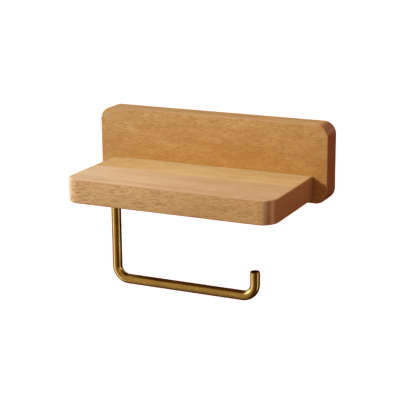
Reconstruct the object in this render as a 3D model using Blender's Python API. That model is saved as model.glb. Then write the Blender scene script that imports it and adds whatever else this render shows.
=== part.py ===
"""A wall-hung toilet paper holder: a beech back plate, a beech shelf and a bent brass rod.

X runs along the wall, Y into it and Z up. The origin is the centre of the back plate's rear
face, which lies on the wall, so everything else is at negative Y.
"""

import math
from collections import namedtuple

import bmesh
import bpy

MM = 0.001
FIT_GAP = 0.3 * MM  # clearance all round between two pieces that fit together
OVERCUT = 1 * MM  # how far a cutter stands out of the face that it opens

# The two boards
PLATE_WIDTH = 200 * MM
PLATE_HEIGHT = 63 * MM
PLATE_THICKNESS = 19 * MM
PLATE_CORNER = 10 * MM
PLATE_LIP = 3 * MM  # how far the plate reaches below the shelf
SHELF_SETBACK = 12 * MM  # from the plate's end to the shelf's end, on each side
SHELF_DEPTH = 83 * MM
SHELF_THICKNESS = 19 * MM
SHELF_CORNER = 13 * MM
EDGE_ROUND = 1 * MM

# The rod: a leg down from the shelf, a bar along the wall and a short turned-up tip
ROD_DIAMETER = 8 * MM
ROD_WIDTH = 130 * MM  # over the outsides of the leg and the tip
ROD_DROP = 73 * MM  # from the shelf's underside to the bar's centre line
ROD_BEND = 10.5 * MM  # radius of the centre line
TIP_RISE = 21 * MM  # from the bar's centre line to the tip's end
LEG_INSET = 21 * MM  # from the shelf's end to the leg's axis
ROD_FROM_WALL = 56 * MM  # leaves room for a roll 110 mm across
ROD_CHAMFER = 0.5 * MM

# The rod's screw thread and the insert that takes it, both drawn at the crests
THREAD_DIAMETER = 6 * MM
THREAD_LENGTH = 11 * MM
THREAD_CHAMFER = 0.7 * MM
INSERT_WALL = 1.7 * MM
INSERT_LENGTH = 13 * MM
INSERT_FLANGE_WIDTH = 1.5 * MM  # how far the flange stands out of the insert's body
INSERT_FLANGE_THICKNESS = 1.2 * MM
INSERT_END_ROOM = 1 * MM  # above the insert, for the thread's end

# Dowels and screws between the boards
DOWEL_DIAMETER = 8 * MM
DOWEL_CHAMFER = 0.8 * MM
DOWEL_INSET = 10 * MM  # from the shelf's end
DOWEL_BACKING = 3.5 * MM  # wood left between the dowel's hole and the wall
DOWEL_IN_SHELF = 15 * MM
DOWEL_END_ROOM = 0.5 * MM  # for glue, at each end
SHELF_SCREW_INSET = 58 * MM  # from the shelf's end
SHELF_SCREW_SINK = 5 * MM  # the head's depth below the plate's rear face

Screw = namedtuple("Screw", "shank head length point rim")
SHELF_SCREW = Screw(shank=4 * MM, head=8 * MM, length=40 * MM, point=5 * MM, rim=0.4 * MM)
HANGER_SCREW = Screw(shank=3 * MM, head=6 * MM, length=12 * MM, point=3 * MM, rim=0.15 * MM)

# Keyhole hangers, let in flush at the back, and the pocket that takes a wall screw's head
KEYHOLE_ENTRY_DIAMETER = 9 * MM
KEYHOLE_SLOT_WIDTH = 4.6 * MM
KEYHOLE_TRAVEL = 9 * MM  # from the entry's centre up to the slot's end centre
POCKET_ROOM = 1 * MM  # round the entry
POCKET_DEPTH = 8 * MM
HANGER_THICKNESS = 1.5 * MM
HANGER_SINK = 0.2 * MM  # below the plate's rear face, so that the wood bears on the wall
HANGER_LEDGE = 2.5 * MM  # how far the hanger reaches past the pocket on each side
HANGER_SCREW_ROOM = 4 * MM  # from the pocket's end to the screw's centre
HANGER_SCREW_MARGIN = 4 * MM  # from the screw's centre to the hanger's end
HANGER_INSET = 40 * MM  # from the plate's end to the hanger's centre
HANGER_TOP_MARGIN = 5.5 * MM  # from the plate's top edge

# How finely round shapes are drawn
CORNER_STEPS = 10
EDGE_STEPS = 3
ROUND_STEPS = 24
BEND_STEPS = 12
SHARP_ANGLE = math.radians(35)

# Places that follow from the sizes
FORWARD = (math.radians(90), 0, 0)  # turns an object's own Z to point away from the wall
PLATE_TOP = PLATE_HEIGHT / 2
PLATE_FRONT = -PLATE_THICKNESS
SHELF_UNDER = -PLATE_HEIGHT / 2 + PLATE_LIP
SHELF_TOP = SHELF_UNDER + SHELF_THICKNESS
SHELF_MIDDLE = (SHELF_UNDER + SHELF_TOP) / 2
SHELF_REAR = PLATE_FRONT - FIT_GAP
SHELF_FRONT = SHELF_REAR - SHELF_DEPTH
SHELF_END = PLATE_WIDTH / 2 - SHELF_SETBACK
LEG_X = -SHELF_END + LEG_INSET
LEG_Y = -ROD_FROM_WALL
POCKET_WIDTH = KEYHOLE_ENTRY_DIAMETER + 2 * POCKET_ROOM
HANGER_WIDTH = POCKET_WIDTH + 2 * HANGER_LEDGE
HANGER_SCREW_RISE = (KEYHOLE_TRAVEL + POCKET_WIDTH) / 2 + HANGER_SCREW_ROOM
HANGER_HEIGHT = 2 * (HANGER_SCREW_RISE + HANGER_SCREW_MARGIN)
HANGER_X = PLATE_WIDTH / 2 - HANGER_INSET
HANGER_Z = PLATE_TOP - HANGER_TOP_MARGIN - HANGER_HEIGHT / 2
SIDES = (("left", -1), ("right", 1))

Finish = namedtuple("Finish", "colour roughness metallic")
BEECH = Finish((0.58, 0.33, 0.16), 0.55, 0.0)
DOWEL_BEECH = Finish((0.66, 0.46, 0.27), 0.7, 0.0)
SATIN_BRASS = Finish((0.56, 0.37, 0.12), 0.35, 1.0)
BRIGHT_BRASS = Finish((0.72, 0.52, 0.22), 0.3, 1.0)
ZINC_STEEL = Finish((0.62, 0.63, 0.62), 0.4, 1.0)


# Making objects


def clear_scene():
    for old in list(bpy.data.objects):
        bpy.data.objects.remove(old)


def finish_material(name, finish):
    material = bpy.data.materials.new(name)
    material.use_nodes = True
    shader = material.node_tree.nodes["Principled BSDF"]
    shader.inputs["Base Color"].default_value = (*finish.colour, 1.0)
    shader.inputs["Roughness"].default_value = finish.roughness
    shader.inputs["Metallic"].default_value = finish.metallic
    return material


def add_object(name, bm, location=(0, 0, 0), rotation=(0, 0, 0), finish=None, smooth=False):
    """Put a finished bmesh in the scene; without a finish it is only a cutter."""
    bmesh.ops.recalc_face_normals(bm, faces=bm.faces)
    mesh = bpy.data.meshes.new(name)
    bm.to_mesh(mesh)
    bm.free()
    if smooth:
        mesh.shade_smooth()
        mesh.set_sharp_from_angle(angle=SHARP_ANGLE)
    made = bpy.data.objects.new(name, mesh)
    made.location = location
    made.rotation_euler = rotation
    bpy.context.collection.objects.link(made)
    if finish:
        mesh.materials.append(finish_material(f"{name}_finish", finish))
    else:
        made.hide_render = True
        made.display_type = "WIRE"
    return made


def cut(piece, cutter):
    """Take the cutter's shape out of the piece."""
    modifier = piece.modifiers.new(cutter.name, "BOOLEAN")
    modifier.operation = "DIFFERENCE"
    modifier.solver = "EXACT"
    modifier.object = cutter


# Shapes


def rounded_rectangle(low, high, radii):
    """Outline points, anticlockwise, with a radius for each corner from the lower left."""
    (left, bottom), (right, top) = low, high
    corners = ((left, bottom, 1, 1), (right, bottom, -1, 1), (right, top, -1, -1), (left, top, 1, -1))
    points = []
    for turn, ((x, y, inward_x, inward_y), radius) in enumerate(zip(corners, radii)):
        if radius == 0:
            points.append((x, y))
            continue
        for step in range(CORNER_STEPS + 1):
            angle = math.pi + (turn + step / CORNER_STEPS) * math.pi / 2
            across = x + radius * (inward_x + math.cos(angle))
            up = y + radius * (inward_y + math.sin(angle))
            points.append((across, up))
    return points


def stadium(width, low, high):
    """A slot's outline about X = 0, with round ends centred at the heights low and high."""
    radius = width / 2
    points = []
    for centre, start in ((low, math.pi), (high, 0)):
        for step in range(2 * CORNER_STEPS + 1):
            angle = start + math.pi * step / (2 * CORNER_STEPS)
            points.append((radius * math.cos(angle), centre + radius * math.sin(angle)))
    return points


def prism(outline, bottom, top):
    """An outline in X and Y, closed at two heights."""
    bm = bmesh.new()
    base = bm.faces.new([bm.verts.new((x, y, bottom)) for x, y in outline])
    raised = bmesh.ops.extrude_face_region(bm, geom=[base])["geom"]
    verts = [part for part in raised if isinstance(part, bmesh.types.BMVert)]
    bmesh.ops.translate(bm, verts=verts, vec=(0, 0, top - bottom))
    bmesh.ops.recalc_face_normals(bm, faces=bm.faces)
    return bm


def round_edges(bm, kept_sharp):
    """Round over every square edge except those that kept_sharp picks by their two ends."""
    square = [
        edge
        for edge in bm.edges
        if edge.calc_face_angle() > SHARP_ANGLE and not kept_sharp(*(v.co for v in edge.verts))
    ]
    bmesh.ops.bevel(
        bm, geom=square, offset=EDGE_ROUND, segments=EDGE_STEPS, profile=0.5, affect="EDGES"
    )


def turned(profile):
    """A body turned about Z from (radius, height) points: a solid one starts and ends on the
    axis, and any other profile is closed into a ring."""
    bm = bmesh.new()
    verts = [bm.verts.new((radius, 0, height)) for radius, height in profile]
    edges = [bm.edges.new(pair) for pair in zip(verts, verts[1:])]
    if profile[0][0] > 0:
        edges.append(bm.edges.new((verts[-1], verts[0])))
    bmesh.ops.spin(
        bm, geom=verts + edges, cent=(0, 0, 0), axis=(0, 0, 1), angle=math.tau, steps=ROUND_STEPS
    )
    bmesh.ops.remove_doubles(bm, verts=bm.verts, dist=0.001 * MM)
    return bm


def round_bar(stations):
    """A round bar in the XZ plane through stations of (x, z, heading, radius); the heading is
    the angle from +X towards +Z in which the bar runs on."""
    bm = bmesh.new()
    rings = []
    for x, z, heading, radius in stations:
        ring = []
        for step in range(ROUND_STEPS):
            angle = math.tau * step / ROUND_STEPS
            aside = radius * math.cos(angle)
            ring.append(
                bm.verts.new(
                    (
                        x - aside * math.sin(heading),
                        radius * math.sin(angle),
                        z + aside * math.cos(heading),
                    )
                )
            )
        rings.append(ring)
    for ring, following in zip(rings, rings[1:]):
        for step in range(ROUND_STEPS):
            after = (step + 1) % ROUND_STEPS
            bm.faces.new((ring[step], ring[after], following[after], following[step]))
    bm.faces.new(rings[0])
    bm.faces.new(rings[-1])
    return bm


def cylinder(diameter, bottom, top):
    radius = diameter / 2
    return turned([(0, bottom), (radius, bottom), (radius, top), (0, top)])


# Screws, and the holes that take them


def screw_profile(screw, gap=0.0, reach=0.0):
    """A countersunk screw with its head's face at height 0 and its point up. A gap makes it the
    hole for that screw, which then reaches down past the head's face."""
    head, shank = screw.head / 2 + gap, screw.shank / 2 + gap
    cone_end = screw.rim + head - shank
    if gap:
        point = [(shank, screw.length + gap), (0, screw.length + gap)]
    else:
        point = [(shank, screw.length - screw.point), (0, screw.length)]
    return [(0, -reach), (head, -reach), (head, screw.rim), (shank, cone_end), *point]


def add_screw(name, screw, location):
    return add_object(name, turned(screw_profile(screw)), location, FORWARD, ZINC_STEEL, True)


def add_screw_hole(name, screw, location, reach):
    hole = turned(screw_profile(screw, FIT_GAP, reach + OVERCUT))
    return add_object(name, hole, location, FORWARD)


# The boards


def make_plate():
    half = PLATE_WIDTH / 2
    outline = rounded_rectangle((-half, -PLATE_TOP), (half, PLATE_TOP), [PLATE_CORNER] * 4)
    bm = prism(outline, 0, PLATE_THICKNESS)
    round_edges(bm, lambda start, end: False)
    return add_object("back_plate", bm, rotation=FORWARD, finish=BEECH)


def make_shelf():
    """Square where it meets the plate, and rounded everywhere else."""
    corners = [SHELF_CORNER, SHELF_CORNER, 0, 0]
    outline = rounded_rectangle((-SHELF_END, SHELF_FRONT), (SHELF_END, SHELF_REAR), corners)
    bm = prism(outline, SHELF_UNDER, SHELF_TOP)
    joint = SHELF_REAR - EDGE_ROUND
    round_edges(bm, lambda start, end: start.y > joint and end.y > joint)
    return add_object("shelf", bm, finish=BEECH)


def make_dowels(plate, shelf):
    """Two glued dowels across the joint, which keep the shelf from turning."""
    start = DOWEL_BACKING + DOWEL_END_ROOM
    end = -SHELF_REAR + DOWEL_IN_SHELF
    radius, chamfer = DOWEL_DIAMETER / 2, DOWEL_CHAMFER
    profile = [
        (0, start),
        (radius - chamfer, start),
        (radius, start + chamfer),
        (radius, end - chamfer),
        (radius - chamfer, end),
        (0, end),
    ]
    for side, sign in SIDES:
        place = (sign * (SHELF_END - DOWEL_INSET), 0, SHELF_MIDDLE)
        add_object(f"dowel_{side}", turned(profile), place, FORWARD, DOWEL_BEECH, True)
        hole = cylinder(DOWEL_DIAMETER + 2 * FIT_GAP, start - DOWEL_END_ROOM, end + DOWEL_END_ROOM)
        cutter = add_object(f"cut_dowel_{side}", hole, place, FORWARD)
        cut(plate, cutter)
        cut(shelf, cutter)


def make_shelf_screws(plate, shelf):
    """Two long screws through the plate into the shelf's end grain, sunk at the back."""
    for side, sign in SIDES:
        place = (sign * (SHELF_END - SHELF_SCREW_INSET), -SHELF_SCREW_SINK, SHELF_MIDDLE)
        add_screw(f"shelf_screw_{side}", SHELF_SCREW, place)
        cutter = add_screw_hole(f"cut_shelf_screw_{side}", SHELF_SCREW, place, SHELF_SCREW_SINK)
        cut(plate, cutter)
        cut(shelf, cutter)


# The keyhole hangers


def make_hangers(plate):
    """Each hanger covers a pocket, so that a wall screw's head enters the round hole and the
    holder then drops until the screw sits at the top of the slot."""
    entry, slot_end = -KEYHOLE_TRAVEL / 2, KEYHOLE_TRAVEL / 2
    round_ends = (HANGER_HEIGHT - HANGER_WIDTH) / 2
    face = HANGER_SINK
    rear = face + HANGER_THICKNESS
    recess_outline = stadium(HANGER_WIDTH + 2 * FIT_GAP, -round_ends, round_ends)
    pocket_outline = stadium(POCKET_WIDTH, entry, slot_end)
    for side, sign in SIDES:
        place = (sign * HANGER_X, 0, HANGER_Z)
        outline = stadium(HANGER_WIDTH, -round_ends, round_ends)
        hanger = add_object(
            f"hanger_{side}", prism(outline, face, rear), place, FORWARD, ZINC_STEEL
        )
        recess = prism(recess_outline, -OVERCUT, rear + FIT_GAP)
        cut(plate, add_object(f"cut_recess_{side}", recess, place, FORWARD))
        pocket = prism(pocket_outline, -OVERCUT, rear + POCKET_DEPTH)
        cut(plate, add_object(f"cut_pocket_{side}", pocket, place, FORWARD))

        slot = prism(stadium(KEYHOLE_SLOT_WIDTH, entry, slot_end), -OVERCUT, rear + OVERCUT)
        cut(hanger, add_object(f"cut_slot_{side}", slot, place, FORWARD))
        entry_place = (place[0], 0, HANGER_Z + entry)
        hole = cylinder(KEYHOLE_ENTRY_DIAMETER, -OVERCUT, rear + OVERCUT)
        cut(hanger, add_object(f"cut_entry_{side}", hole, entry_place, FORWARD))

        for level, upward in (("upper", 1), ("lower", -1)):
            screw_place = (place[0], -face, HANGER_Z + upward * HANGER_SCREW_RISE)
            add_screw(f"hanger_screw_{side}_{level}", HANGER_SCREW, screw_place)
            name = f"cut_hanger_screw_{side}_{level}"
            cutter = add_screw_hole(name, HANGER_SCREW, screw_place, face)
            cut(plate, cutter)
            cut(hanger, cutter)


# The insert and the rod


def make_insert(shelf):
    """A brass insert in the shelf's underside, its flange flush with the wood."""
    place = (LEG_X, LEG_Y, SHELF_UNDER)
    bore = THREAD_DIAMETER / 2 + FIT_GAP
    body = bore + INSERT_WALL
    flange = body + INSERT_FLANGE_WIDTH
    profile = [
        (bore, 0),
        (flange, 0),
        (flange, INSERT_FLANGE_THICKNESS),
        (body, INSERT_FLANGE_THICKNESS),
        (body, INSERT_LENGTH),
        (bore, INSERT_LENGTH),
    ]
    add_object("threaded_insert", turned(profile), place, finish=BRIGHT_BRASS, smooth=True)
    seat = INSERT_FLANGE_THICKNESS + FIT_GAP
    end = INSERT_LENGTH + INSERT_END_ROOM
    hole = [
        (0, -OVERCUT),
        (flange + FIT_GAP, -OVERCUT),
        (flange + FIT_GAP, seat),
        (body + FIT_GAP, seat),
        (body + FIT_GAP, end),
        (0, end),
    ]
    cut(shelf, add_object("cut_insert", turned(hole), place))


def make_rod():
    """Its origin is on the axis that it turns about, level with the shelf's underside."""
    radius = ROD_DIAMETER / 2
    thread = THREAD_DIAMETER / 2
    tip_x = ROD_WIDTH - ROD_DIAMETER
    shoulder = -FIT_GAP
    shoulder_chamfer = min(ROD_CHAMFER, (radius - thread) / 2)
    down, up = -math.pi / 2, math.pi / 2
    stations = [
        (0, THREAD_LENGTH, down, thread - THREAD_CHAMFER),
        (0, THREAD_LENGTH - THREAD_CHAMFER, down, thread),
        (0, shoulder, down, thread),
        (0, shoulder, down, radius - shoulder_chamfer),
        (0, shoulder - shoulder_chamfer, down, radius),
    ]
    for centre_x, start in ((ROD_BEND, down), (tip_x - ROD_BEND, 0.0)):
        for step in range(BEND_STEPS + 1):
            heading = start + math.pi / 2 * step / BEND_STEPS
            x = centre_x + ROD_BEND * math.sin(heading)
            z = -ROD_DROP + ROD_BEND * (1 - math.cos(heading))
            stations.append((x, z, heading, radius))
    end = -ROD_DROP + TIP_RISE
    stations += [
        (tip_x, end - ROD_CHAMFER, up, radius),
        (tip_x, end, up, radius - ROD_CHAMFER),
    ]
    place = (LEG_X, LEG_Y, SHELF_UNDER)
    add_object("roll_rod", round_bar(stations), place, finish=SATIN_BRASS, smooth=True)


clear_scene()
back_plate = make_plate()
shelf_board = make_shelf()
make_dowels(back_plate, shelf_board)
make_shelf_screws(back_plate, shelf_board)
make_hangers(back_plate)
make_insert(shelf_board)
make_rod()
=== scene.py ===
import math

import bmesh
import bpy
from mathutils import Matrix, Vector


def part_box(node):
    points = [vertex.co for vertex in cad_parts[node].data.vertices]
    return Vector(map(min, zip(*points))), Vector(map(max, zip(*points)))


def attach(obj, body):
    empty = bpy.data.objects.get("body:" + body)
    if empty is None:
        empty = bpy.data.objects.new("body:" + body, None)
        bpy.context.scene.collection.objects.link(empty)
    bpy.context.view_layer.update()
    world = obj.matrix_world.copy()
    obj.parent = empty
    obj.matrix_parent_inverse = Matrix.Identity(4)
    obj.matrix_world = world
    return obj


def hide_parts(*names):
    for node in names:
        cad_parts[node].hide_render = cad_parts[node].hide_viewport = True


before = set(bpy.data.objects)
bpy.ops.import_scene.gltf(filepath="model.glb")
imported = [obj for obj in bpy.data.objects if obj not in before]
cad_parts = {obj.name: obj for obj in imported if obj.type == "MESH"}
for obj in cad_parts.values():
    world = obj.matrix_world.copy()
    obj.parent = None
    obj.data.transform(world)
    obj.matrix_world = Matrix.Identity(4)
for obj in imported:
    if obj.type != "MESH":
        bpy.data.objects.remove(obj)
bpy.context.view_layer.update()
MM = 0.001

# Back plate
# A beech board that lies flat on the wall. It is sawn across the heart's rays, so its face shows
# short dark ray ends; its corners are cut round, its edges eased and its face thinly oiled.

PLATE_CORNER = 10 * MM
EDGE_ROUND = 1 * MM
CORNER_STEPS = 24
EDGE_STEPS = 5
SHARP_ANGLE = math.radians(35)

PLATE_HEART = (0.10, 0.03)  # the middle of the tree, in Y and Z
PLATE_FIGURE = 11.0  # picks this board's own figure
PLATE_RAYS = 0.85
PLATE_LEAN = 4.5 * MM
PLATE_PALE = (0.590, 0.362, 0.128, 1)
PLATE_DEEP = (0.445, 0.222, 0.056, 1)
PLATE_EDGE = (0.410, 0.240, 0.115, 1)
PLATE_LEFT = (0.96, 1.07, 1.28, 1)
PLATE_RIGHT = (0.93, 0.96, 0.96, 1)
PLATE_LOW = (0.92, 0.83, 0.63, 1)
PLATE_HIGH = (1.00, 1.06, 1.14, 1)
# The plate's top face coloured darker than its front: painted shade.
PLATE_TOP_SHADE = (0.79, 0.83, 0.82, 1)
# Painted shade on the plate's right-hand rounded corners, where they turn from the front to the
# end.
PLATE_CORNER_SHADE = (0.62, 0.56, 0.46, 1)
PLATE_END_PALE = (0.500, 0.270, 0.125, 1)
PLATE_END_DEEP = (0.360, 0.170, 0.072, 1)
RAY_BROWN = (0.300, 0.140, 0.045, 1)
UNTINTED = (1, 1, 1, 1)

# The sizes of the figure in beech, along X, Y and Z
SWAY = (90 * MM, 30 * MM, 22 * MM)
SWAY_DEPTH = 14 * MM
RING = (2.6 * MM, 40 * MM, 1)  # across the rings, and along them
BROAD_RING = (13 * MM, 60 * MM, 1)
RING_SLIDE = 0.02  # how slowly the rings change along the board
MOTTLE = (16 * MM, 9 * MM, 5 * MM)
FIBRE = (9 * MM, 0.35 * MM, 0.35 * MM)
STREAK = (55 * MM, 3.2 * MM, 12 * MM)
RAY = (5 * MM, 9 * MM, 0.75 * MM)
FINE_RAY = (3 * MM, 6 * MM, 0.45 * MM)
RAY_PATCH = (24 * MM, 30 * MM, 9 * MM)
SLOPE = (38 * MM, 40 * MM, 18 * MM)
WAVE = (4.5 * MM, 9 * MM, 2.5 * MM)
WAVE_DEPTH = 1.3 * MM
PORE = (0.5 * MM, 0.5 * MM, 0.5 * MM)
# How far the line before a top's yellower rear sways, and how soft it is; that rear is partly
# painted bounce light.
REAR_LINE_SWAY = 3 * MM
REAR_LINE_SOFTNESS = 1.5 * MM
GRAIN_DEPTH = 0.12 * MM


class Wire:
    """A socket of a node tree. Arithmetic on it adds Math nodes to the same tree."""

    def __init__(self, tree, socket=None):
        self.tree = tree
        self.socket = socket

    def node(self, kind, settings=None, sockets=None, out=0):
        """Add any node: its settings first, a ramp's stops among them, then its sockets."""
        made = self.tree.nodes.new(kind)
        for name, value in (settings or {}).items():
            if name == "stops":
                ramp = made.color_ramp.elements
                while len(ramp) < len(value):
                    ramp.new(1.0)
                for element, (position, colour) in zip(ramp, value):
                    element.position = position
                    element.color = colour
            else:
                setattr(made, name, value)
        for key, value in (sockets or {}).items():
            if isinstance(value, Wire):
                self.tree.links.new(value.socket, made.inputs[key])
            else:
                made.inputs[key].default_value = value
        return Wire(self.tree, made.outputs[out])

    def math(self, operation, *values, clamp=False):
        """A Math node on these values, in this wire's tree."""
        settings = {"operation": operation, "use_clamp": clamp}
        return self.node("ShaderNodeMath", settings, dict(enumerate(values)))

    def __add__(self, other):
        return self.math("ADD", self, other)

    __radd__ = __add__

    def __sub__(self, other):
        return self.math("SUBTRACT", self, other)

    def __rsub__(self, other):
        return self.math("SUBTRACT", other, self)

    def __mul__(self, other):
        return self.math("MULTIPLY", self, other)

    __rmul__ = __mul__

    def __truediv__(self, other):
        return self.math("DIVIDE", self, other)

    def __pow__(self, other):
        return self.math("POWER", self, other)

    def ramp(self, low, high):
        """0 where this is below low, 1 above high, and smooth between them."""
        settings = {"interpolation_type": "SMOOTHSTEP"}
        return self.node("ShaderNodeMapRange", settings, {0: self, 1: low, 2: high})

    def mixed(self, factor, first, second, how="MIX"):
        """One colour turned into another by a factor."""
        settings = {"data_type": "RGBA", "blend_type": how}
        return self.node("ShaderNodeMix", settings, {0: factor, 6: first, 7: second}, out=2)

    def blend(self, factor, other, how="MIX"):
        """This colour, turned into another by a factor."""
        return self.mixed(factor, self, other, how)

    def colours(self, stops):
        """This value as a colour, between the stops of a ramp."""
        return self.node("ShaderNodeValToRGB", {"stops": stops}, {0: self}, out="Color")

    def axes(self):
        return [self.node("ShaderNodeSeparateXYZ", None, {0: self}, out=i) for i in range(3)]

    def noise(self, lengths, shift=0.0, detail=2.0, distortion=0.0):
        """Smooth noise from 0 to 1 whose features have these lengths along the three axes."""
        scale = tuple(1 / length for length in lengths)
        sized = self.node("ShaderNodeVectorMath", {"operation": "MULTIPLY"}, {0: self, 1: scale})
        moved = self.node("ShaderNodeVectorMath", None, {0: sized, 1: (shift, shift, shift)})
        sockets = {"Vector": moved, "Scale": 1.0, "Detail": detail, "Distortion": distortion}
        return self.node("ShaderNodeTexNoise", None, sockets)


def new_finish(name, **uniform):
    """A material, its shader, and a bare wire to start its nodes from."""
    material = bpy.data.materials.new(name)
    material.use_nodes = True
    shader = material.node_tree.nodes["Principled BSDF"]
    for socket, value in uniform.items():
        shader.inputs[socket.replace("_", " ")].default_value = value
    return material, shader, Wire(material.node_tree)


def connect(shader, **wires):
    for socket, wire in wires.items():
        wire.tree.links.new(wire.socket, shader.inputs[socket.replace("_", " ")])


def bumped(height, strength, depth):
    """Height, from 0 to 1, as relief of this depth."""
    sockets = {"Strength": strength, "Distance": depth, "Height": height}
    return height.node("ShaderNodeBump", None, sockets)


def beech(name, pale, deep, edge, heart, shift, rays, lean=0.0, drifts=(), shading_bands=(), turn=0.0,
          rear_tone_and_bounce=None, face=UNTINTED, end_pale=PLATE_END_PALE, end_deep=PLATE_END_DEEP):
    """Sawn beech with its grain along X: rings about a heart, fibres, and ray ends on faces that
    look along Y, which lean by up to a depth. A drift is an axis, two places on it and the tints
    there. Each corner shading is two shares of how squarely a corner faces the right-hand end, a
    softness and the tint between them: painted light and shade on the rounded corners. A face
    tint on the faces that look along Y is painted shade. The rear tone is where the wood behind a
    swaying line starts, and its own drift: partly the wood's own tone, partly painted bounce
    light. A turn about Z lays the grain another way."""
    material, shader, start = new_finish(name, Specular_IOR_Level=0.32)
    place = start.node("ShaderNodeTexCoord", out="Object")
    normal = start.node("ShaderNodeTexCoord", out="Normal")
    if turn:
        place = start.node("ShaderNodeMapping", None, {"Vector": place, "Rotation": (0, 0, turn)})
        normal = start.node("ShaderNodeMapping", None, {"Vector": normal, "Rotation": (0, 0, turn)})
    x, y, z = place.axes()
    across, outward, _ = normal.axes()

    sway = place.noise(SWAY, shift, detail=3)
    radius = ((y - heart[0]) ** 2 + (z - heart[1]) ** 2) ** 0.5 + (sway - 0.5) * SWAY_DEPTH
    ring_place = start.node("ShaderNodeCombineXYZ", None, {0: radius, 1: x * RING_SLIDE})
    rings = ring_place.noise(RING, shift, detail=3)
    broad = ring_place.noise(BROAD_RING, shift + 4, detail=1)
    mottle = place.noise(MOTTLE, shift + 9, detail=4, distortion=0.6)
    fibres = place.noise(FIBRE, shift + 2, detail=3)
    streaks = place.noise(STREAK, shift + 10, detail=3)

    slope = place.noise(SLOPE, shift + 6, detail=1)
    wave = place.noise(WAVE, shift + 7, detail=2)
    bent_z = z + (slope - 0.5) * lean + (wave - 0.5) * WAVE_DEPTH
    bent = start.node("ShaderNodeCombineXYZ", None, {0: x, 1: y, 2: bent_z})
    line = bent.noise(RAY, shift + 3, detail=1)
    fine = bent.noise(FINE_RAY, shift + 5, detail=1)
    patch = place.noise(RAY_PATCH, shift + 8, detail=2)
    facing = outward.math("ABSOLUTE", outward).ramp(0.80, 0.98)
    ray = (line.ramp(0.48, 0.60) * 0.55 + fine.ramp(0.47, 0.62) * 0.4) * facing
    ray = ray * (0.75 + patch.ramp(0.35, 0.65) * 0.25)

    def drifted(axis, first, last, first_tint, last_tint):
        share = ((x, y, z)[axis] + (mottle - 0.5) * ((last - first) / 2)).ramp(first, last)
        return start.mixed(share, first_tint, last_tint)

    tone = broad * 0.4 + rings * 0.25 + mottle * 0.35 + fibres * 0.2 + streaks * 0.3
    colour = start.mixed(tone.ramp(0.55, 0.95), deep, pale)
    for drift in drifts:
        colour = colour.blend(1.0, drifted(*drift), "MULTIPLY")
    # The wood behind the line is yellower: partly its own tone, partly painted bounce light off the
    # plate.
    if rear_tone_and_bounce:
        line_y, drift = rear_tone_and_bounce
        swayed = y + (sway - 0.5) * REAR_LINE_SWAY
        behind = swayed.ramp(line_y - REAR_LINE_SOFTNESS, line_y + REAR_LINE_SOFTNESS)
        colour = colour.blend(behind, drifted(*drift), "MULTIPLY")
    # A face tint on the faces that look along Y is painted shade.
    colour = colour.blend(facing, face, "MULTIPLY").blend(ray * rays, RAY_BROWN)
    eased = start.node("ShaderNodeAttribute", {"attribute_name": "eased"}, out="Fac")
    colour = colour.blend(eased * 0.6, edge)

    left_end = (0 - across).ramp(0.9, 1.0) * 0.4
    end = across.ramp(0.42, 0.52) * 0.55 + across.ramp(0.7, 1.0) * 0.4 + left_end
    pores = place.noise(PORE, shift + 1, detail=2)
    speckle = (pores * 0.5 + rings * 0.5).ramp(0.3, 0.7)
    colour = colour.blend(end, start.mixed(speckle, end_deep, end_pale))
    # Painted light and shade on the rounded corners, by how squarely they face the right-hand end.
    for first, last, soft, tint in shading_bands:
        corner_shading_mask = across.ramp(first - soft, first) * (1 - across.ramp(last, last + soft))
        colour = colour.blend(corner_shading_mask * (1 - eased), tint, "MULTIPLY")

    relief = fibres * 0.5 + rings * 0.2 - ray * 0.6
    roughness = 0.40 + mottle * 0.12 + ray * 0.12 - end * 0.24
    normal = bumped(relief, 0.35, GRAIN_DEPTH)
    connect(shader, Base_Color=colour, Roughness=roughness, Normal=normal)
    return material


def solid(bm, name):
    """A bmesh as an object at the origin, its faces pointing out."""
    bmesh.ops.recalc_face_normals(bm, faces=bm.faces)
    mesh = bpy.data.meshes.new(name)
    bm.to_mesh(mesh)
    bm.free()
    made = bpy.data.objects.new(name, mesh)
    bpy.context.collection.objects.link(made)
    return made


def board(low, high, corner, corner_edges, kept_square):
    """A board that fills a box: the edges that corner_edges picks are cut round, and all others
    are eased but for those that kept_square picks. Both pick by an edge's two ends."""
    bm = bmesh.new()
    place = Matrix.Translation((high + low) / 2) @ Matrix.Diagonal((*(high - low), 1))
    bmesh.ops.create_cube(bm, size=1, matrix=place)
    corners = [edge for edge in bm.edges if corner_edges(*(v.co for v in edge.verts))]
    bmesh.ops.bevel(
        bm, geom=corners, offset=corner, segments=CORNER_STEPS, profile=0.5, affect="EDGES"
    )
    square = [
        edge
        for edge in bm.edges
        if edge.calc_face_angle() > SHARP_ANGLE and not kept_square(*(v.co for v in edge.verts))
    ]
    bmesh.ops.bevel(
        bm, geom=square, offset=EDGE_ROUND, segments=EDGE_STEPS, profile=0.5, affect="EDGES"
    )
    return bm


plate_low, plate_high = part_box("back_plate")
plate_finish = beech(
    "oiled_beech_plate", PLATE_PALE, PLATE_DEEP, PLATE_EDGE, PLATE_HEART, PLATE_FIGURE, PLATE_RAYS,
    lean=PLATE_LEAN,
    drifts=[
        (0, -100 * MM, 20 * MM, PLATE_LEFT, PLATE_RIGHT),
        (2, -10 * MM, 30 * MM, PLATE_LOW, PLATE_HIGH),
        # The top face, coloured darker: painted shade.
        (2, 30.3 * MM, 31.3 * MM, UNTINTED, PLATE_TOP_SHADE),
    ],
    # Painted shade on the right-hand rounded corners.
    shading_bands=[(0.45, 0.75, 0.25, PLATE_CORNER_SHADE)],
)
plate = solid(
    board(
        plate_low,
        plate_high,
        PLATE_CORNER,
        lambda start, end: abs(start.y - end.y) > EDGE_ROUND,
        lambda start, end: False,
    ),
    "plate_blank",
)

# Shelf
# A beech board glued and screwed to the lower part of the plate. The rear part of its top is
# yellower: partly the wood's own tone, partly painted bounce light off the plate. Its two front
# corners are cut round; the right one carries painted light and a painted highlight, and its
# front and back faces carry painted shade.

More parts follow.
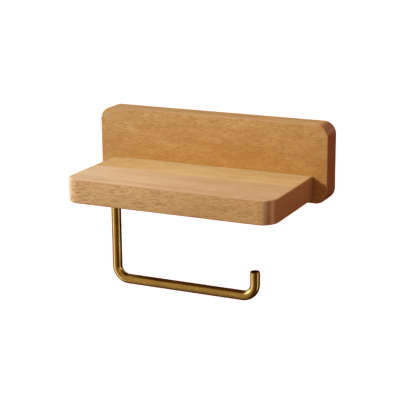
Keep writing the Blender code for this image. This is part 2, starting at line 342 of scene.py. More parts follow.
SHELF_CORNER = 13 * MM
REAR_TONE_SHARE = 0.42  # how much of the shelf's depth the yellower rear part takes
SHELF_HEART = (0.16, -0.02)
SHELF_FIGURE = 47.0
SHELF_RAYS = 0.80
SHELF_LEAN = 4 * MM
SHELF_PALE = (0.550, 0.375, 0.184, 1)
SHELF_DEEP = (0.428, 0.262, 0.108, 1)
SHELF_EDGE = (0.380, 0.215, 0.090, 1)
SHELF_LEFT = (1.09, 1.34, 1.70, 1)
SHELF_RIGHT = (0.95, 1.09, 1.20, 1)
# The yellower rear of the shelf's top: partly the wood's tone, partly painted bounce light off the
# plate.
REAR_TONE_BOUNCE_LEFT = (0.91, 0.79, 0.55, 1)
REAR_TONE_BOUNCE_RIGHT = (1.13, 1.15, 1.00, 1)
# The shelf's front and back faces coloured darker and redder than its top: painted shade.
SHELF_FRONT_SHADE = (1.07, 0.90, 0.67, 1)
# Painted light where the shelf's right front corner starts to turn away from the front.
SHELF_CORNER_LIGHT = (1.28, 1.32, 1.40, 1)
# A painted highlight: an upright pale streak further round that corner.
SHELF_CORNER_HIGHLIGHT = (1.45, 1.52, 1.62, 1)
SHELF_END_PALE = (0.600, 0.420, 0.180, 1)
SHELF_END_DEEP = (0.460, 0.300, 0.120, 1)

shelf_low, shelf_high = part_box("shelf")
rear_tone_line = shelf_high.y - REAR_TONE_SHARE * (shelf_high.y - shelf_low.y)
shelf_finish = beech(
    "oiled_beech_shelf", SHELF_PALE, SHELF_DEEP, SHELF_EDGE, SHELF_HEART, SHELF_FIGURE, SHELF_RAYS,
    lean=SHELF_LEAN,
    drifts=[(0, -95 * MM, 60 * MM, SHELF_LEFT, SHELF_RIGHT)],
    # Painted light, then a painted highlight, on the shelf's right front corner.
    shading_bands=[(0.28, 0.36, 0.14, SHELF_CORNER_LIGHT), (0.77, 0.82, 0.1, SHELF_CORNER_HIGHLIGHT)],
    # The yellower rear part: partly the wood's tone, partly painted bounce light.
    rear_tone_and_bounce=(rear_tone_line, (0, -95 * MM, 20 * MM, REAR_TONE_BOUNCE_LEFT, REAR_TONE_BOUNCE_RIGHT)),
    # Painted shade on the front and back faces.
    face=SHELF_FRONT_SHADE,
    end_pale=SHELF_END_PALE,
    end_deep=SHELF_END_DEEP,
)
joint_line = shelf_high.y - EDGE_ROUND
shelf = solid(
    board(
        shelf_low,
        shelf_high,
        SHELF_CORNER,
        lambda start, end: abs(start.z - end.z) > EDGE_ROUND and start.y < joint_line,
        lambda start, end: start.y > joint_line and end.y > joint_line,
    ),
    "shelf_blank",
)

# Dowels
# Two fluted beech dowels glued across the joint of the boards, which keep the shelf from turning.
# The flutes let the glue out; both ends are chamfered.

DOWEL_CHAMFER = 0.8 * MM
DOWEL_END_ROOM = 0.5 * MM
FLUTES = 16
FLUTE_DEPTH = 0.35 * MM
FLUTE_STEPS = 6  # points round for each flute
DOWEL_HEART = (0.05, 0.02)
DOWEL_FIGURE = 31.0
DOWEL_PALE = (0.700, 0.500, 0.300, 1)
DOWEL_DEEP = (0.580, 0.370, 0.190, 1)
FIT_GAP = 0.3 * MM  # between the walls of a hole and what fills it
ROUND_STEPS = 64
SAME_POINT = 0.001 * MM
DOUBLED_POINT = 0.0001 * MM
FLAT = 0.99999  # how squarely a face has to look along an axis to be a flat one
QUARTER = math.radians(90)


def turned(profile, place, forward=False, steps=ROUND_STEPS):
    """A body turned from (radius, height) points about an axis that stands at a place and runs up,
    or away from the wall. A profile that doesn't start on the axis is closed into a ring."""
    bm = bmesh.new()
    verts = [bm.verts.new((radius, 0, height)) for radius, height in profile]
    edges = [bm.edges.new(pair) for pair in zip(verts, verts[1:])]
    if profile[0][0] > 0:
        edges.append(bm.edges.new((verts[-1], verts[0])))
    bmesh.ops.spin(
        bm, geom=verts + edges, cent=(0, 0, 0), axis=(0, 0, 1), angle=math.tau, steps=steps
    )
    bmesh.ops.remove_doubles(bm, verts=bm.verts, dist=SAME_POINT)
    tilt = Matrix.Rotation(QUARTER if forward else 0, 4, "X")
    bmesh.ops.transform(bm, matrix=Matrix.Translation(place) @ tilt, verts=bm.verts)
    return bm


def join(piece, other, how="DIFFERENCE"):
    modifier = piece.modifiers.new(how, "BOOLEAN")
    modifier.operation = how
    modifier.solver = "EXACT"
    modifier.object = other


def finished(piece, name, material, scratch=()):
    """The piece with its modifiers applied as a plain mesh under its own name; the bodies that it
    was cut with or joined to are dropped, and doubled points are merged."""
    bpy.context.view_layer.update()
    graph = bpy.context.evaluated_depsgraph_get()
    mesh = bpy.data.meshes.new_from_object(piece.evaluated_get(graph), depsgraph=graph)
    for used in (piece, *scratch):
        bpy.data.objects.remove(used)
    bm = bmesh.new()
    bm.from_mesh(mesh)
    bmesh.ops.remove_doubles(bm, verts=bm.verts, dist=DOUBLED_POINT)
    bm.to_mesh(mesh)
    bm.free()
    mesh.materials.clear()
    mesh.materials.append(material)
    mesh.name = name
    for face in mesh.polygons:
        face.material_index = 0
        face.use_smooth = max(map(abs, face.normal)) < FLAT
    mesh.set_sharp_from_angle(angle=SHARP_ANGLE)
    made = bpy.data.objects.new(name, mesh)
    bpy.context.collection.objects.link(made)
    return made


def place_piece(piece, node, body):
    """The piece stands for a CAD node and moves with its body."""
    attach(piece, body)
    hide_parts(node)


dowel_finish = beech(
    "raw_dowel_beech", DOWEL_PALE, DOWEL_DEEP, DOWEL_PALE, DOWEL_HEART, DOWEL_FIGURE, 0.0,
    turn=QUARTER,
)
cutters = []
for side in ("left", "right"):
    low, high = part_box(f"dowel_{side}")
    middle = (low + high) / 2
    radius = (high.x - low.x) / 2
    near, far = -high.y, -low.y
    bore = radius + FIT_GAP
    profile = [(0, near - DOWEL_END_ROOM), (bore, near - DOWEL_END_ROOM)]
    profile += [(bore, far + DOWEL_END_ROOM), (0, far + DOWEL_END_ROOM)]
    hole = turned(profile, (middle.x, 0, middle.z), forward=True)
    cutters.append(solid(hole, f"dowel_hole_{side}"))
    join(plate, cutters[-1])
    join(shelf, cutters[-1])

    profile = [(0, near), (radius - DOWEL_CHAMFER, near), (radius, near + DOWEL_CHAMFER)]
    profile += [(radius, far - DOWEL_CHAMFER), (radius - DOWEL_CHAMFER, far), (0, far)]
    bm = turned(profile, (0, 0, 0), steps=FLUTES * FLUTE_STEPS)
    for vert in bm.verts:
        around = math.atan2(vert.co.y, vert.co.x) * FLUTES
        if vert.co.xy.length > radius - DOWEL_CHAMFER / 2:
            vert.co.xy *= 1 - FLUTE_DEPTH / radius * (0.5 - 0.5 * math.cos(around)) ** 2
    place = Matrix.Translation((middle.x, 0, middle.z)) @ Matrix.Rotation(QUARTER, 4, "X")
    bmesh.ops.transform(bm, matrix=place, verts=bm.verts)
    dowel = finished(solid(bm, "dowel_blank"), f"fluted_dowel_{side}", dowel_finish)
    place_piece(dowel, f"dowel_{side}", "holder")

# Screws
# Zinc-plated countersunk wood screws with a cross recess and a rolled thread that ends in a point:
# two long ones from the back of the plate into the shelf, and four short ones in the hangers.

LONG_SCREW = (2 * MM, 0.4 * MM, 24 * MM, 1.8 * MM, 5 * MM)  # shank, rim, thread, pitch, point
SHORT_SCREW = (1.5 * MM, 0.15 * MM, 9 * MM, 1.3 * MM, 3 * MM)
SCREW_STEPS = 48
SCREW_SHARPNESS = 2.2
ROOT_SHARE = 0.68  # of the shank
FACE_SHARE = 0.97  # of the head
RECESS_WIDTH = 0.16  # shares of the head's diameter
RECESS_REACH = 0.56
RECESS_DEPTH = 0.3
RECESS_TAPER = 0.45
OVERCUT = 1 * MM
THREAD_ROWS = 12  # rows of points for each turn of a thread
THREAD_COLUMNS = 36
WHOLE_TURNS = 100  # keeps the count of turns above 0
POINT_BLUNTNESS = 0.03
BLOOM = (1.5 * MM, 1.5 * MM, 1.5 * MM)
HAZE = (9 * MM, 9 * MM, 7 * MM)
SCRATCH = (5 * MM, 0.12 * MM, 0.12 * MM)
SCRATCH_DEPTH = 0.02 * MM
ZINC_STOPS = [(0.3, (0.42, 0.43, 0.44, 1)), (0.7, (0.72, 0.73, 0.73, 1))]
PASSIVATION = (0.70, 0.62, 0.42, 1)


def thread_tree():
    """A closed threaded rod from height 0 upwards, rolled up from a grid of rows and columns."""
    tree = bpy.data.node_groups.new("threaded_rod", "GeometryNodeTree")
    tree.interface.new_socket("Geometry", in_out="OUTPUT", socket_type="NodeSocketGeometry")
    for name in ("Length", "Root", "Crest", "Pitch", "Run Out", "Point", "Sharpness"):
        tree.interface.new_socket(name, in_out="INPUT", socket_type="NodeSocketFloat")
    tree.interface.new_socket("Material", in_out="INPUT", socket_type="NodeSocketMaterial")
    given = tree.nodes.new("NodeGroupInput")
    length, root, crest, pitch, run_out, point, sharpness, finish = (
        Wire(tree, socket) for socket in given.outputs[:8]
    )
    rows = length / pitch * THREAD_ROWS
    last_row = rows.math("CEIL", rows) + 2
    sockets = {"Vertices X": THREAD_COLUMNS + 1, "Vertices Y": last_row + 1}
    sockets |= {"Size X": 1.0, "Size Y": 1.0}
    grid = length.node("GeometryNodeMeshGrid", None, sockets)
    x, y, _ = length.node("GeometryNodeInputPosition").axes()
    turn = x + 0.5
    spot = (y + 0.5) * last_row
    row = spot.math("ROUND", spot)
    height = length * row.math("DIVIDE", row - 1, last_row - 2, clamp=True)
    from_pole = row.math("MINIMUM", row, last_row - row)
    off_pole = row.math("MINIMUM", from_pole, 1.0)
    ridge = row.math("PINGPONG", height / pitch - turn + WHOLE_TURNS, 0.5) * 2
    to_end = row.math("MINIMUM", height, length - height)
    fade = to_end.math("DIVIDE", to_end, run_out, clamp=True)
    taper = to_end.math("MINIMUM", (length - height) / point + POINT_BLUNTNESS, 1.0)
    radius = (root + (crest - root) * ridge ** sharpness * fade) * taper * off_pole
    angle = turn * math.tau
    place = {0: radius * angle.math("COSINE", angle), 1: radius * angle.math("SINE", angle)}
    place = length.node("ShaderNodeCombineXYZ", None, place | {2: height})
    sockets = {"Geometry": grid, "Position": place}
    rolled = length.node("GeometryNodeSetPosition", None, sockets)
    sockets = {"Geometry": rolled, "Distance": SAME_POINT}
    closed = length.node("GeometryNodeMergeByDistance", None, sockets)
    real = length.node("GeometryNodeRealizeInstances", None, {"Geometry": closed})
    sockets = {"Geometry": real, "Material": finish}
    coated = length.node("GeometryNodeSetMaterial", None, sockets)
    output = tree.nodes.new("NodeGroupOutput")
    tree.links.new(coated.socket, output.inputs["Geometry"])
    return tree


def grow(piece, tree, inputs):
    """Put a tree on a piece as a modifier, with its inputs set by their identifiers."""
    modifier = piece.modifiers.new(tree.name, "NODES")
    modifier.node_group = tree
    for item in tree.interface.items_tree:
        if item.in_out == "INPUT" and item.name in inputs:
            modifier[item.identifier] = inputs[item.name]
    return modifier


def grown(tree, inputs, name):
    """The mesh that a tree makes with these inputs, as a plain object with its faces outwards."""
    maker = bpy.data.objects.new(name, bpy.data.meshes.new(name))
    bpy.context.collection.objects.link(maker)
    modifier = grow(maker, tree, inputs)
    bpy.context.view_layer.update()
    graph = bpy.context.evaluated_depsgraph_get()
    mesh = bpy.data.meshes.new_from_object(maker.evaluated_get(graph), depsgraph=graph)
    maker.modifiers.remove(modifier)
    bpy.data.objects.remove(maker)
    bm = bmesh.new()
    bm.from_mesh(mesh)
    bpy.data.meshes.remove(mesh)
    return solid(bm, name)


def zinc(name):
    """Zinc plating: a soft crystalline bloom, faint yellow passivation and fine scratches."""
    material, shader, start = new_finish(name, Metallic=1.0)
    place = start.node("ShaderNodeTexCoord", out="Object")
    bloom = place.noise(BLOOM, 3.0, detail=4, distortion=0.8)
    haze = place.noise(HAZE, 8.0, detail=2)
    scratches = place.noise(SCRATCH, 5.0, detail=2)
    tone = bloom * 0.6 + scratches * 0.4
    colour = tone.colours(ZINC_STOPS).blend(haze.ramp(0.45, 0.75) * 0.35, PASSIVATION)
    roughness = 0.34 + bloom * 0.22 + scratches * 0.1
    normal = bumped(tone, 0.25, SCRATCH_DEPTH)
    connect(shader, Base_Color=colour, Roughness=roughness, Normal=normal)
    return material


zinc_finish = zinc("zinc_plating")
threads = thread_tree()


def wood_screw(name, low, high, kind):
    """A screw that fills a CAD screw's box: its head's face towards the wall, its point away."""
    shank, rim, thread_length, pitch, point = kind
    head = (high.x - low.x) / 2
    length = high.y - low.y
    root = shank * ROOT_SHARE
    neck = length - thread_length
    profile = [(0, 0), (head * FACE_SHARE, 0), (head, rim * 0.3), (head, rim)]
    profile += [(shank, head - shank + rim), (shank, neck)]
    profile += [(root * 0.9, neck + pitch / 2), (0, neck + pitch / 2)]
    blank = solid(turned(profile, (0, 0, 0), steps=SCREW_STEPS), f"{name}_head")
    sizes = {"Length": thread_length + pitch, "Root": root, "Crest": shank, "Pitch": pitch}
    sizes |= {"Run Out": pitch, "Point": point, "Sharpness": SCREW_SHARPNESS}
    thread = grown(threads, sizes | {"Material": zinc_finish}, f"{name}_thread")
    thread.data.transform(Matrix.Translation((0, 0, neck - pitch)))
    join(blank, thread, "UNION")
    depth, reach, width = (2 * head * share for share in (RECESS_DEPTH, RECESS_REACH, RECESS_WIDTH))
    used = [thread]
    for wing in (0, 90):
        bm = bmesh.new()
        place = Matrix.Rotation(math.radians(wing), 4, "Z")
        place @= Matrix.Diagonal((reach, width, 2 * depth, 1))
        bmesh.ops.create_cube(bm, size=1, matrix=place)
        for vert in bm.verts:
            if vert.co.z > 0:
                vert.co.xy *= RECESS_TAPER
        used.append(solid(bm, f"{name}_wing_{wing}"))
        join(blank, used[-1])
    made = finished(blank, name, zinc_finish, used)
    middle = (low + high) / 2
    place = Matrix.Translation((middle.x, high.y, middle.z)) @ Matrix.Rotation(QUARTER, 4, "X")
    made.data.transform(place)
    return made


def screw_hole(low, high, kind, reach):
    """The countersunk hole round a screw, which opens towards the wall."""
    shank, rim = kind[:2]
    head = (high.x - low.x) / 2 + FIT_GAP
    neck = shank + FIT_GAP
    length = high.y - low.y + FIT_GAP
    profile = [(0, -reach), (head, -reach), (head, rim), (neck, rim + head - neck)]
    profile += [(neck, length), (0, length)]
    place = ((low.x + high.x) / 2, high.y, (low.z + high.z) / 2)
    return turned(profile, place, forward=True)


for side in ("left", "right"):
    low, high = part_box(f"shelf_screw_{side}")
    hole = screw_hole(low, high, LONG_SCREW, OVERCUT - high.y)
    cutters.append(solid(hole, f"shelf_screw_hole_{side}"))
    join(plate, cutters[-1])
    join(shelf, cutters[-1])
    screw = wood_screw(f"joining_screw_{side}", low, high, LONG_SCREW)
    place_piece(screw, f"shelf_screw_{side}", "holder")

# Keyhole hangers
# Stamped zinc-plated steel plates let in flush at the back. Each covers a pocket, so that a wall
# screw's head enters the round hole and the holder then drops until the screw is in the slot.

ENTRY_DIAMETER = 9 * MM
SLOT_WIDTH = 4.6 * MM
KEYHOLE_TRAVEL = 9 * MM
POCKET_ROOM = 1 * MM
POCKET_DEPTH = 8 * MM
STAMPED_EDGE = 0.25 * MM
STAMPED_STEPS = 3


def prism(outline, place, near, far):
    """An outline in X and Z about a place, closed between two depths away from the wall."""
    bm = bmesh.new()
    base = bm.faces.new([bm.verts.new((place[0] + x, -near, place[2] + z)) for x, z in outline])
    raised = bmesh.ops.extrude_face_region(bm, geom=[base])["geom"]
    verts = [part for part in raised if isinstance(part, bmesh.types.BMVert)]
    bmesh.ops.translate(bm, verts=verts, vec=(0, near - far, 0))
    return bm


def stadium(width, low, high):
    """A slot's outline about X = 0, with round ends centred at the heights low and high."""
    points = []
    for centre, start in ((low, math.pi), (high, 0)):
        for step in range(CORNER_STEPS + 1):
            angle = start + math.pi * step / CORNER_STEPS
            points.append((width / 2 * math.cos(angle), centre + width / 2 * math.sin(angle)))
    return points


for side in ("left", "right"):
    low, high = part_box(f"hanger_{side}")
    middle = (low + high) / 2
    width = high.x - low.x
    round_end = (high.z - low.z - width) / 2
    near, far = -high.y, -low.y
    drop = KEYHOLE_TRAVEL / 2
    outline = stadium(width + 2 * FIT_GAP, -round_end, round_end)
    recess = prism(outline, middle, -OVERCUT, far + FIT_GAP)
    outline = stadium(ENTRY_DIAMETER + 2 * POCKET_ROOM, -drop, drop)
    pocket = prism(outline, middle, -OVERCUT, far + POCKET_DEPTH)
    for name, bm in (("recess", recess), ("pocket", pocket)):
        cutters.append(solid(bm, f"hanger_{name}_{side}"))
        join(plate, cutters[-1])

    bm = prism(stadium(width, -round_end, round_end), middle, near, far)
    rims = [edge for edge in bm.edges if edge.calc_face_angle() > SHARP_ANGLE]
    bmesh.ops.bevel(
        bm, geom=rims, offset=STAMPED_EDGE, segments=STAMPED_STEPS, profile=0.5, affect="EDGES"
    )
    hanger = solid(bm, "hanger_blank")
    slot = prism(stadium(SLOT_WIDTH, -drop, drop), middle, -OVERCUT, far + OVERCUT)
    profile = [(0, -OVERCUT), (ENTRY_DIAMETER / 2, -OVERCUT)]
    profile += [(ENTRY_DIAMETER / 2, far + OVERCUT), (0, far + OVERCUT)]
    entry = turned(profile, (middle.x, 0, middle.z - drop), forward=True)
    used = [solid(slot, "slot"), solid(entry, "entry")]
    for cutter in used:
        join(hanger, cutter)
    for level in ("upper", "lower"):
        node = f"hanger_screw_{side}_{level}"
        screw_low, screw_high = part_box(node)
        hole = screw_hole(screw_low, screw_high, SHORT_SCREW, OVERCUT)
        cutters.append(solid(hole, f"{node}_hole"))
        join(plate, cutters[-1])
        join(hanger, cutters[-1])
        screw = wood_screw(f"short_screw_{side}_{level}", screw_low, screw_high, SHORT_SCREW)
        place_piece(screw, node, "holder")
    hanger = finished(hanger, f"keyhole_plate_{side}", zinc_finish, used)
    place_piece(hanger, f"hanger_{side}", "holder")

# Threaded insert
# A turned brass insert screwed into the shelf's underside. Its coarse outer thread bites into the
# wood, its inner one takes the rod, and its flange lies flush as the face that the rod bears on.

INSERT_BODY = 5 * MM
INSERT_CORE = 4.3 * MM
INSERT_PITCH = 2.4 * MM
INSERT_RUN_OUT = 1 * MM
INSERT_SHARPNESS = 1.6
INSERT_BORE = 3.12 * MM
INSERT_GROOVES = 3.42 * MM
INSERT_END_ROOM = 1 * MM
BORE_OVERRUN = 2 * MM
FLANGE_THICKNESS = 1.2 * MM
FLANGE_CHAMFER = 0.3 * MM
FLANGE_STEP = 0.1 * MM
ROD_PITCH = 1 * MM
ROD_SHARPNESS = 1.0
BLUNT = 0.01 * MM  # a thread's point that is cut square
TURNING = (0.09 * MM, 1, 1)
TURNING_DEPTH = 0.01 * MM
TARNISH = (2.5 * MM, 2.5 * MM, 2.5 * MM)
BRIGHT_STOPS = [(0.35, (0.66, 0.44, 0.16, 1)), (0.65, (0.80, 0.60, 0.28, 1))]


def bright_brass(name, axis):
    """Turned brass: fine rings about the axis, and a little tarnish."""
    material, shader, start = new_finish(name, Metallic=1.0)
    place = start.node("ShaderNodeTexCoord", out="Object")
    x, y, _ = place.axes()
    reach = ((x - axis.x) ** 2 + (y - axis.y) ** 2) ** 0.5
    rings = start.node("ShaderNodeCombineXYZ", None, {0: reach}).noise(TURNING, 2.0)
    tarnish = place.noise(TARNISH, 6.0, detail=4)
    colour = (rings * 0.5 + tarnish * 0.5).colours(BRIGHT_STOPS)
    roughness = 0.2 + tarnish * 0.2
    normal = bumped(rings, 0.3, TURNING_DEPTH)
    connect(shader, Base_Color=colour, Roughness=roughness, Normal=normal)
    return material


low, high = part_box("threaded_insert")
middle = (low + high) / 2
flange = (high.x - low.x) / 2
length = high.z - low.z
seat = FLANGE_THICKNESS + FIT_GAP
wide, narrow = flange + FIT_GAP, INSERT_BODY + FIT_GAP
end = length + INSERT_END_ROOM
profile = [(0, -OVERCUT), (wide, -OVERCUT), (wide, seat), (narrow, seat), (narrow, end), (0, end)]
hole = turned(profile, (middle.x, middle.y, low.z))
cutters.append(solid(hole, "insert_hole"))
join(shelf, cutters[-1])

insert_finish = bright_brass("turned_insert_brass", middle)
core = INSERT_CORE - FLANGE_STEP
profile = [(0, 0), (flange - FLANGE_CHAMFER, 0), (flange, FLANGE_CHAMFER)]
profile += [(flange, FLANGE_THICKNESS), (core, FLANGE_THICKNESS)]
profile += [(core, 2 * FLANGE_THICKNESS), (0, 2 * FLANGE_THICKNESS)]
insert = solid(turned(profile, (0, 0, 0)), "insert_blank")
sizes = {"Length": length - FLANGE_THICKNESS / 2, "Root": INSERT_CORE, "Crest": INSERT_BODY}
sizes |= {"Pitch": INSERT_PITCH, "Run Out": INSERT_RUN_OUT, "Sharpness": INSERT_SHARPNESS}
sizes |= {"Point": BLUNT, "Material": insert_finish}
outer = grown(threads, sizes, "insert_outer_thread")
outer.data.transform(Matrix.Translation((0, 0, FLANGE_THICKNESS / 2)))
sizes = {"Length": length + 2 * BORE_OVERRUN, "Root": INSERT_BORE, "Crest": INSERT_GROOVES}
sizes |= {"Pitch": ROD_PITCH, "Run Out": BORE_OVERRUN, "Sharpness": ROD_SHARPNESS}
sizes |= {"Point": BLUNT, "Material": insert_finish}
inner = grown(threads, sizes, "insert_inner_thread")
inner.data.transform(Matrix.Translation((0, 0, -BORE_OVERRUN)))
join(insert, outer, "UNION")
join(insert, inner)
insert = finished(insert, "brass_insert", insert_finish, [outer, inner])
insert.data.transform(Matrix.Translation((middle.x, middle.y, low.z)))
place_piece(insert, "threaded_insert", "holder")

# Both boards, now that every hole is cut
# The beech plate and shelf are bored for the dowels, screws, hangers and insert, and glued
# together. Their edges are eased and coloured a little darker.


def mark_eased(piece, low, high):
    """Mark the faces of the eased edges, which are coloured a little darker."""
    values = piece.data.attributes.new("eased", "FLOAT", "FACE").data
    for face, value in zip(piece.data.polygons, values):
        spans = zip(face.center, low, high)
        near = sum(min(at - start, end - at) < EDGE_ROUND for at, start, end in spans)
        value.value = float(near >= 2 and max(map(abs, face.normal)) < FLAT)


plate = finished(plate, "beech_back_plate", plate_finish)
shelf = finished(shelf, "beech_shelf", shelf_finish)
for cutter in cutters:
    bpy.data.objects.remove(cutter)
mark_eased(plate, plate_low, plate_high)
mark_eased(shelf, shelf_low, shelf_high)
place_piece(plate, "back_plate", "holder")
place_piece(shelf, "shelf", "holder")

# Rod
# An 8 mm brass rod bent twice, drawn smooth and left to age. Its top is turned down and threaded,
# and screws into the insert, so the whole rod swings on its leg.

ROD_BEND = 10.5 * MM
ROD_CHAMFER = 0.5 * MM
TIP_RISE = 21 * MM
BEND_STEPS = 40
THREAD_LENGTH = 11 * MM
THREAD_RADIUS = 3 * MM
THREAD_ROOT = 2.45 * MM
THREAD_RUN_OUT = 0.8 * MM
THREAD_SUNK = 1 * MM  # how far the thread runs down into the rod
DRAWING = (30 * MM, 0.35 * MM, 0.35 * MM)
DRAWING_DEPTH = 0.015 * MM
CLOUD = (16 * MM, 5 * MM, 5 * MM)
SPECK = (1.1 * MM, 0.8 * MM, 0.8 * MM)
PATINA_START = 0.08  # along the rod, in metres
PATINA_FULL = 0.2
BRASS_STOPS = [
    (0.32, (0.44, 0.22, 0.030, 1)),
    (0.52, (0.63, 0.33, 0.050, 1)),
    (0.70, (0.76, 0.45, 0.10, 1)),
]
SPECK_BROWN = (0.26, 0.15, 0.04, 1)
PATINA_BROWN = (0.46, 0.22, 0.03, 1)


def rod_tree():
    """A round rod along a path with its corners bent round. Each point keeps how far along the
    rod it is, and where it lies in the rod's section, for the finish to follow."""
    tree = bpy.data.node_groups.new("bent_rod", "GeometryNodeTree")
    tree.interface.new_socket("Geometry", in_out="OUTPUT", socket_type="NodeSocketGeometry")
    tree.interface.new_socket("Path", in_out="INPUT", socket_type="NodeSocketGeometry")
    for name in ("Rod Radius", "Bend Radius"):
        tree.interface.new_socket(name, in_out="INPUT", socket_type="NodeSocketFloat")
    tree.interface.new_socket("Material", in_out="INPUT", socket_type="NodeSocketMaterial")
    given = tree.nodes.new("NodeGroupInput")
    path, radius, bend, finish = (Wire(tree, socket) for socket in given.outputs[:4])
    line = path.node("GeometryNodeMeshToCurve", None, {"Mesh": path})
    sockets = {"Curve": line, "Count": BEND_STEPS, "Radius": bend, "Limit Radius": False}
    line = path.node("GeometryNodeFilletCurve", {"mode": "POLY"}, sockets)
    along = path.node("GeometryNodeSplineParameter", out="Length")
    sockets = {"Geometry": line, "Name": "along", "Value": along}
    line = path.node("GeometryNodeStoreNamedAttribute", {"data_type": "FLOAT"}, sockets)
    sockets = {"Resolution": ROUND_STEPS, "Radius": radius}
    circle = path.node("GeometryNodeCurvePrimitiveCircle", None, sockets)
    place = path.node("GeometryNodeInputPosition")
    sockets = {"Geometry": circle, "Name": "section", "Value": place}
    circle = path.node("GeometryNodeStoreNamedAttribute", {"data_type": "FLOAT_VECTOR"}, sockets)
    sockets = {"Name": "girth"}
    girth = path.node("GeometryNodeInputNamedAttribute", {"data_type": "FLOAT"}, sockets)
    sockets = {"Curve": line, "Profile Curve": circle, "Scale": girth, "Fill Caps": True}
    rod = path.node("GeometryNodeCurveToMesh", None, sockets)
    real = path.node("GeometryNodeRealizeInstances", None, {"Geometry": rod})
    sockets = {"Geometry": real, "Material": finish}
    coated = path.node("GeometryNodeSetMaterial", None, sockets)
    output = tree.nodes.new("NodeGroupOutput")
    tree.links.new(coated.socket, output.inputs["Geometry"])
    return tree


def aged_brass(name):
    """Drawn and lacquered brass: streaks along the rod, brown patina in clouds that deepens from
    the leg to the tip, and small darker specks."""
    material, shader, start = new_finish(
        name, Metallic=1.0, Coat_Weight=0.5, Coat_IOR=1.7, Coat_Roughness=0.08
    )
    along = start.node("ShaderNodeAttribute", {"attribute_name": "along"}, out="Fac")
    section = start.node("ShaderNodeAttribute", {"attribute_name": "section"}, out="Vector")
    across, up, _ = section.axes()
    straight = start.node("ShaderNodeCombineXYZ", None, {0: along, 1: across, 2: up})
    streaks = straight.noise(DRAWING, 4.0, detail=3)
    clouds = straight.noise(CLOUD, 9.0, detail=4, distortion=0.5)
    specks = straight.noise(SPECK, 2.0, detail=2)
    colour = (clouds * 0.6 + streaks * 0.4).colours(BRASS_STOPS)
    colour = colour.blend(specks.ramp(0.6, 0.78) * 0.4, SPECK_BROWN)
    colour = colour.blend(along.ramp(PATINA_START, PATINA_FULL) * 0.3, PATINA_BROWN)
    roughness = 0.12 + clouds * 0.09 + streaks * 0.07
    normal = bumped(streaks, 0.25, DRAWING_DEPTH)
    connect(shader, Base_Color=colour, Roughness=roughness, Normal=normal)
    return material


rod_low, rod_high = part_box("roll_rod")
rod_radius = (rod_high.y - rod_low.y) / 2
rod_y = (rod_high.y + rod_low.y) / 2
leg_x, tip_x = rod_low.x + rod_radius, rod_high.x - rod_radius
bar_z = rod_low.z + rod_radius
shoulder = shelf_low.z - FIT_GAP
tip_top = bar_z + TIP_RISE
chamfered = 1 - ROD_CHAMFER / rod_radius
stations = [
    ((leg_x, rod_y, shoulder), chamfered),
    ((leg_x, rod_y, shoulder - ROD_CHAMFER), 1.0),
    ((leg_x, rod_y, bar_z), 1.0),
    ((tip_x, rod_y, bar_z), 1.0),
    ((tip_x, rod_y, tip_top - ROD_CHAMFER), 1.0),
    ((tip_x, rod_y, tip_top), chamfered),
]
path = bpy.data.meshes.new("rod_path")
links = [(i, i + 1) for i in range(len(stations) - 1)]
path.from_pydata([place for place, _ in stations], links, [])
girths = path.attributes.new("girth", "FLOAT", "POINT")
girths.data.foreach_set("value", [girth for _, girth in stations])
rod_finish = aged_brass("aged_satin_brass")
bender = bpy.data.objects.new("rod_bender", path)
bpy.context.collection.objects.link(bender)
sizes = {"Rod Radius": rod_radius, "Bend Radius": ROD_BEND, "Material": rod_finish}
grow(bender, rod_tree(), sizes)
rod = finished(bender, "brass_rod", rod_finish)

sizes = {"Length": THREAD_LENGTH + THREAD_SUNK, "Root": THREAD_ROOT, "Crest": THREAD_RADIUS}
sizes |= {"Pitch": ROD_PITCH, "Run Out": THREAD_RUN_OUT, "Sharpness": ROD_SHARPNESS}
sizes |= {"Point": THREAD_SUNK, "Material": rod_finish}
spigot = finished(grown(threads, sizes, "rod_spigot"), "rod_thread", rod_finish)
thread_foot = rod_high.z - THREAD_LENGTH - THREAD_SUNK
spigot.data.transform(Matrix.Translation((leg_x, rod_y, thread_foot)))
place_piece(rod, "roll_rod", "rod_arm")
place_piece(spigot, "roll_rod", "rod_arm")

# Studio
# A pale floor well below the object, and a soft key light from the upper left front. A dim room
# that is lit from above fills the wood, and soft upright cards round the object shine in the brass.

CAMERA_AZIMUTH = math.radians(25.0)
CAMERA_ELEVATION = math.radians(15.5)
CAMERA_ROLL = math.radians(-0.4)
CAMERA_DISTANCE = 1.0216
AIM = Vector((-0.4 * MM, -23.0 * MM, -43.8 * MM))
LENS = 109.04
SENSOR_WIDTH = 36
VIEW_END = 200
FLOOR_Z = -0.7
FLOOR_SIZE = 60.0
FLOOR_CLOUD = (0.3, 0.3, 0.3)
FLOOR_STOPS = [(0.3, (0.92, 0.92, 0.92, 1)), (0.7, (0.95, 0.95, 0.945, 1))]
KEY_AZIMUTH = math.radians(-50)
KEY_ELEVATION = math.radians(24)
KEY_STRENGTH = 3.15
KEY_SOFTNESS = math.radians(9)
CEILING = 1.5  # the room's light from above, which fades to the right, and from below
GROUND = 0.05
TABLE = 0.2  # light from straight below, off a pale table
DIM_CARD = (1, 0.62, 0.25, 1)
LIT_CARD = (1, 0.95, 0.80, 1)
COOL_CARD = (1, 1.25, 1.8, 1)
SIDE_CARD = (1, 1.1, 1.3, 1)
RIGHT_WARMTH = (1.25, 0.56, 0.42, 1)


def direction(azimuth, elevation):
    """The way from the object towards an azimuth, 0 in front and 90 on the right."""
    level = math.cos(elevation)
    return Vector((math.sin(azimuth) * level, -math.cos(azimuth) * level, math.sin(elevation)))


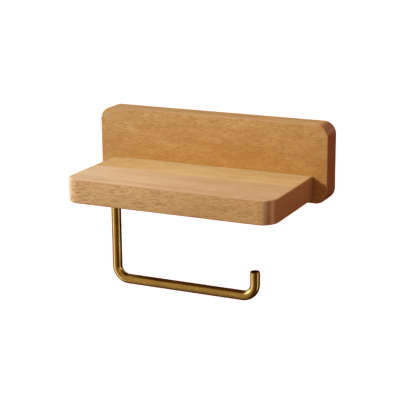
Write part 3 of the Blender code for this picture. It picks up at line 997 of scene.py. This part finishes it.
back = direction(CAMERA_AZIMUTH, CAMERA_ELEVATION)
camera = bpy.data.objects.new("camera", bpy.data.cameras.new("camera"))
camera.data.lens = LENS
camera.data.sensor_width = SENSOR_WIDTH
camera.data.clip_end = VIEW_END
turned_round = back.to_track_quat("Z", "Y").to_matrix().to_4x4()
roll = Matrix.Rotation(CAMERA_ROLL, 4, "Z")
camera.matrix_world = Matrix.Translation(AIM + back * CAMERA_DISTANCE) @ turned_round @ roll
bpy.context.collection.objects.link(camera)
bpy.context.scene.camera = camera

bm = bmesh.new()
place = Matrix.Translation((0, 0, FLOOR_Z))
bmesh.ops.create_grid(bm, x_segments=1, y_segments=1, size=FLOOR_SIZE / 2, matrix=place)
floor = solid(bm, "floor")
floor_finish, shader, start = new_finish("pale_floor", Roughness=0.9)
spread = start.node("ShaderNodeTexCoord", out="Object").noise(FLOOR_CLOUD, 1.0, detail=4)
connect(shader, Base_Color=spread.colours(FLOOR_STOPS))
floor.data.materials.append(floor_finish)
floor.visible_glossy = False
floor.visible_diffuse = False

key = bpy.data.objects.new("key_light", bpy.data.lights.new("key_light", "SUN"))
key.data.energy = KEY_STRENGTH
key.data.angle = KEY_SOFTNESS
key.visible_glossy = False
key_way = direction(KEY_AZIMUTH, KEY_ELEVATION)
key.matrix_world = key_way.to_track_quat("Z", "Y").to_matrix().to_4x4()
bpy.context.collection.objects.link(key)

world = bpy.data.worlds.new("studio")
world.use_nodes = True
bpy.context.scene.world = world
background = world.node_tree.nodes["Background"]
start = Wire(world.node_tree)
toward = start.node("ShaderNodeTexCoord", out="Generated")
east, north, height = toward.axes()
level = (east ** 2 + north ** 2) ** 0.5 + 0.001


def card(azimuth, narrow, wide, low, high):
    """1 on an upright card about an azimuth, between two heights, with soft edges."""
    side = direction(math.radians(azimuth), 0)
    inline = (east * side.x + north * side.y) / level
    across = inline.ramp(math.cos(math.radians(wide)), math.cos(math.radians(narrow)))
    return across * height.ramp(low - 0.15, low) * (1 - height.ramp(high, high + 0.2))


softbox = card(-50, 2, 10, -0.6, 0.0) * 2.3
upper_softbox = card(-72, 12, 30, 0.08, 0.5) * 2.5
rear_card = card(-118, 8, 25, -0.5, 0.3) * 0.7
side_card = card(90, 5, 16, -0.6, 0.4) * 1.2
rear_fill = card(140, 15, 45, 0.1, 0.8) * 0.45
right_fill = card(45, 20, 40, -0.05, 0.8) * 0.35
front = card(-38, 30, 50, -1.5, 0.6) * (0.25 + height.ramp(-1.1, -0.1) * 0.75)
overhead = height.ramp(0.6, 0.8) * (1 - north.ramp(0.35, 0.6))
dim = 0.01 + (1 - north.ramp(-0.2, 0.3)) * 0.10
cool = softbox + upper_softbox + rear_card
glow = dim + (front + overhead) * 0.39 + cool + side_card + rear_fill + right_fill
table = (0 - height).ramp(0.5, 0.8) * TABLE
uneven = 0.64 - east * 0.46 + north * 0.26
room = GROUND + table + height.ramp(-0.1, 0.15) * uneven * CEILING
glossy = start.node("ShaderNodeLightPath", out="Is Glossy Ray")
seen = start.node("ShaderNodeLightPath", out="Is Camera Ray")
strength = room * (1 - glossy) * (1 - seen) + glow * glossy + seen
tint = start.mixed(glow.ramp(0.05, 0.4), DIM_CARD, LIT_CARD)
tint = tint.blend(cool / glow, COOL_CARD).blend(side_card / glow, SIDE_CARD)
warmth = start.mixed(east.ramp(-0.6, 0.2) * (1 - seen), UNTINTED, RIGHT_WARMTH)
colour = start.mixed(glossy, warmth, tint)
start.tree.links.new(strength.socket, background.inputs["Strength"])
start.tree.links.new(colour.socket, background.inputs["Color"])

bpy.context.scene.view_settings.view_transform = "Standard"
